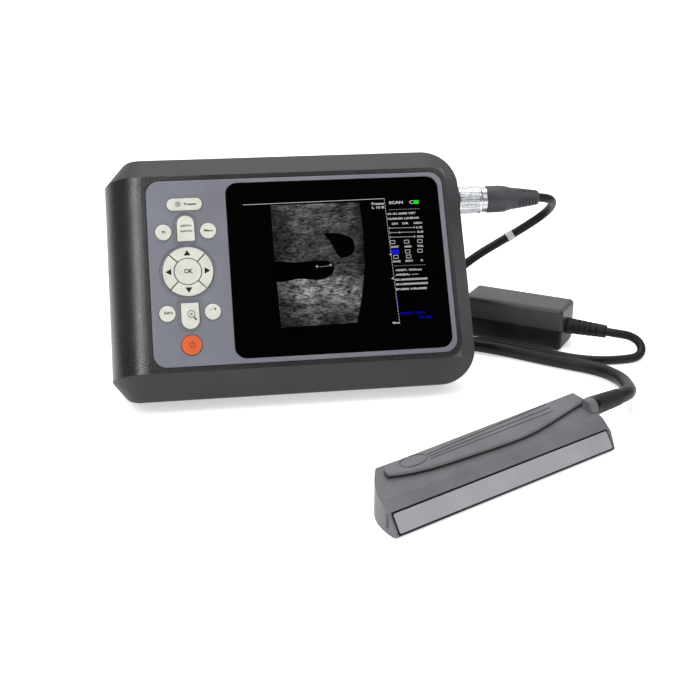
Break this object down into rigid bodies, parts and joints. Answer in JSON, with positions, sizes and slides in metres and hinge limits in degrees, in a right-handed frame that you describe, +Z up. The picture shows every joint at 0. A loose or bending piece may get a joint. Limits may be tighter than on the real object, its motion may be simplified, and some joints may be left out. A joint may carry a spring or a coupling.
{
  "type": "ultrasound scanner",
  "caption": "Hand-held diagnostic scanner leaning on its fold-out stand, with screen, key column and a cabled linear probe.",
  "frame": {"origin": "middle of the rubber rest strip under the scanner's lower edge, at table level", "axes": "+X along the scanner's width towards its probe socket, +Z up, -Y towards the user"},
  "size_m": [0.3655, 0.3895, 0.1427],
  "materials": {
    "housing": "fine textured moulding",
    "panel": "satin blue-grey",
    "screen_glass": "black-backed cover glass",
    "display": "display module",
    "key_ivory": "moulded ivory keys",
    "key_orange": "moulded orange key",
    "silicone": "silicone",
    "board": "solder mask",
    "parts_black": "moulded electronic parts",
    "tinned_steel": "tinned steel",
    "screw_steel": "plated screws",
    "battery": "battery wrap",
    "rubber_black": "black rubber",
    "connector_metal": "satin chromed brass",
    "boot_grey": "grey rubber",
    "cable_jacket": "cable jacket",
    "box_shell": "moulded box",
    "probe_shell": "satin grey probe shell",
    "probe_grip": "soft-touch grip",
    "probe_lens": "acoustic lens",
    "ceramic": "piezo ceramic",
    "resin": "filled resin",
    "tag_white": "heat-shrunk sleeve"
  },
  "bodies": {
    "scanner": {"front_shell": "housing", "rear_shell": "housing", "battery_cover": "housing", "face_panel": "panel", "screen_glass": "screen_glass", "screen_gasket": "silicone", "display_module": "display", "key_mat": "silicone", "key_board": "board", "main_board": "board", "board_screws": "screw_steel", "case_screws": "screw_steel", "battery_pack": "battery", "battery_cover_screws": "screw_steel", "charge_jack": "parts_black", "data_port": "tinned_steel", "stand_pin": "screw_steel", "rest_strip": "rubber_black", "probe_socket": "connector_metal", "socket_nut": "connector_metal", "plug_body": "connector_metal", "plug_boot": "boot_grey", "box_top": "box_shell", "box_bottom": "box_shell", "box_board": "board", "box_screws": "screw_steel", "box_lead_relief": "rubber_black", "box_cable_relief": "rubber_black", "plug_lead": "cable_jacket", "lead_tag": "tag_white", "probe_cable_start": "cable_jacket", "probe_cable": "cable_jacket", "probe_cable_coil": "cable_jacket", "coil_tie": "rubber_black", "probe_top": "probe_shell", "probe_bottom": "probe_shell", "probe_grip": "probe_grip", "probe_lens": "probe_lens", "lens_seal": "rubber_black", "crystal_array": "ceramic", "array_backing": "resin", "probe_board": "board", "probe_relief": "rubber_black", "probe_collar": "boot_grey"},
    "key_freeze": {"key_freeze": "key_ivory"},
    "key_depth": {"key_depth": "key_ivory"},
    "key_mode": {"key_mode": "key_ivory"},
    "key_menu": {"key_menu": "key_ivory"},
    "key_info": {"key_info": "key_ivory"},
    "key_star": {"key_star": "key_ivory"},
    "key_zoom": {"key_zoom": "key_ivory"},
    "key_power": {"key_power": "key_orange"},
    "key_ok": {"key_ok": "key_ivory"},
    "key_up": {"key_up": "key_ivory"},
    "key_left": {"key_left": "key_ivory"},
    "key_down": {"key_down": "key_ivory"},
    "key_right": {"key_right": "key_ivory"},
    "stand": {"stand_leg": "housing", "stand_foot": "rubber_black"},
    "coupling_ring": {"coupling_ring": "connector_metal"}
  },
  "joints": [
    {"name": "key_freeze_press", "type": "slide", "parent": "scanner", "child": "key_freeze", "axis": [0, 0.8387, -0.5446], "range_m": [0, 0.0008], "stiffness_N_per_m": 1500},
    {"name": "key_depth_press", "type": "slide", "parent": "scanner", "child": "key_depth", "axis": [0, 0.8387, -0.5446], "range_m": [0, 0.0008], "stiffness_N_per_m": 1500},
    {"name": "key_mode_press", "type": "slide", "parent": "scanner", "child": "key_mode", "axis": [0, 0.8387, -0.5446], "range_m": [0, 0.0008], "stiffness_N_per_m": 1500},
    {"name": "key_menu_press", "type": "slide", "parent": "scanner", "child": "key_menu", "axis": [0, 0.8387, -0.5446], "range_m": [0, 0.0008], "stiffness_N_per_m": 1500},
    {"name": "key_info_press", "type": "slide", "parent": "scanner", "child": "key_info", "axis": [0, 0.8387, -0.5446], "range_m": [0, 0.0008], "stiffness_N_per_m": 1500},
    {"name": "key_star_press", "type": "slide", "parent": "scanner", "child": "key_star", "axis": [0, 0.8387, -0.5446], "range_m": [0, 0.0008], "stiffness_N_per_m": 1500},
    {"name": "key_zoom_press", "type": "slide", "parent": "scanner", "child": "key_zoom", "axis": [0, 0.8387, -0.5446], "range_m": [0, 0.0008], "stiffness_N_per_m": 1500},
    {"name": "key_power_press", "type": "slide", "parent": "scanner", "child": "key_power", "axis": [0, 0.8387, -0.5446], "range_m": [0, 0.0008], "stiffness_N_per_m": 1500},
    {"name": "key_ok_press", "type": "slide", "parent": "scanner", "child": "key_ok", "axis": [0, 0.8387, -0.5446], "range_m": [0, 0.0008], "stiffness_N_per_m": 1500},
    {"name": "key_up_press", "type": "slide", "parent": "scanner", "child": "key_up", "axis": [0, 0.8387, -0.5446], "range_m": [0, 0.0008], "stiffness_N_per_m": 1500},
    {"name": "key_left_press", "type": "slide", "parent": "scanner", "child": "key_left", "axis": [0, 0.8387, -0.5446], "range_m": [0, 0.0008], "stiffness_N_per_m": 1500},
    {"name": "key_down_press", "type": "slide", "parent": "scanner", "child": "key_down", "axis": [0, 0.8387, -0.5446], "range_m": [0, 0.0008], "stiffness_N_per_m": 1500},
    {"name": "key_right_press", "type": "slide", "parent": "scanner", "child": "key_right", "axis": [0, 0.8387, -0.5446], "range_m": [0, 0.0008], "stiffness_N_per_m": 1500},
    {"name": "stand_fold", "type": "hinge", "parent": "scanner", "child": "stand", "pos_m": [0, 0.04889, 0.07403], "axis": [-1, 0, 0], "range_deg": [0, 50]},
    {"name": "ring_lock", "type": "hinge", "parent": "scanner", "child": "coupling_ring", "pos_m": [0.126, 0.05056, 0.10872], "axis": [1, 0, 0], "range_deg": [0, 60]}
  ]
}
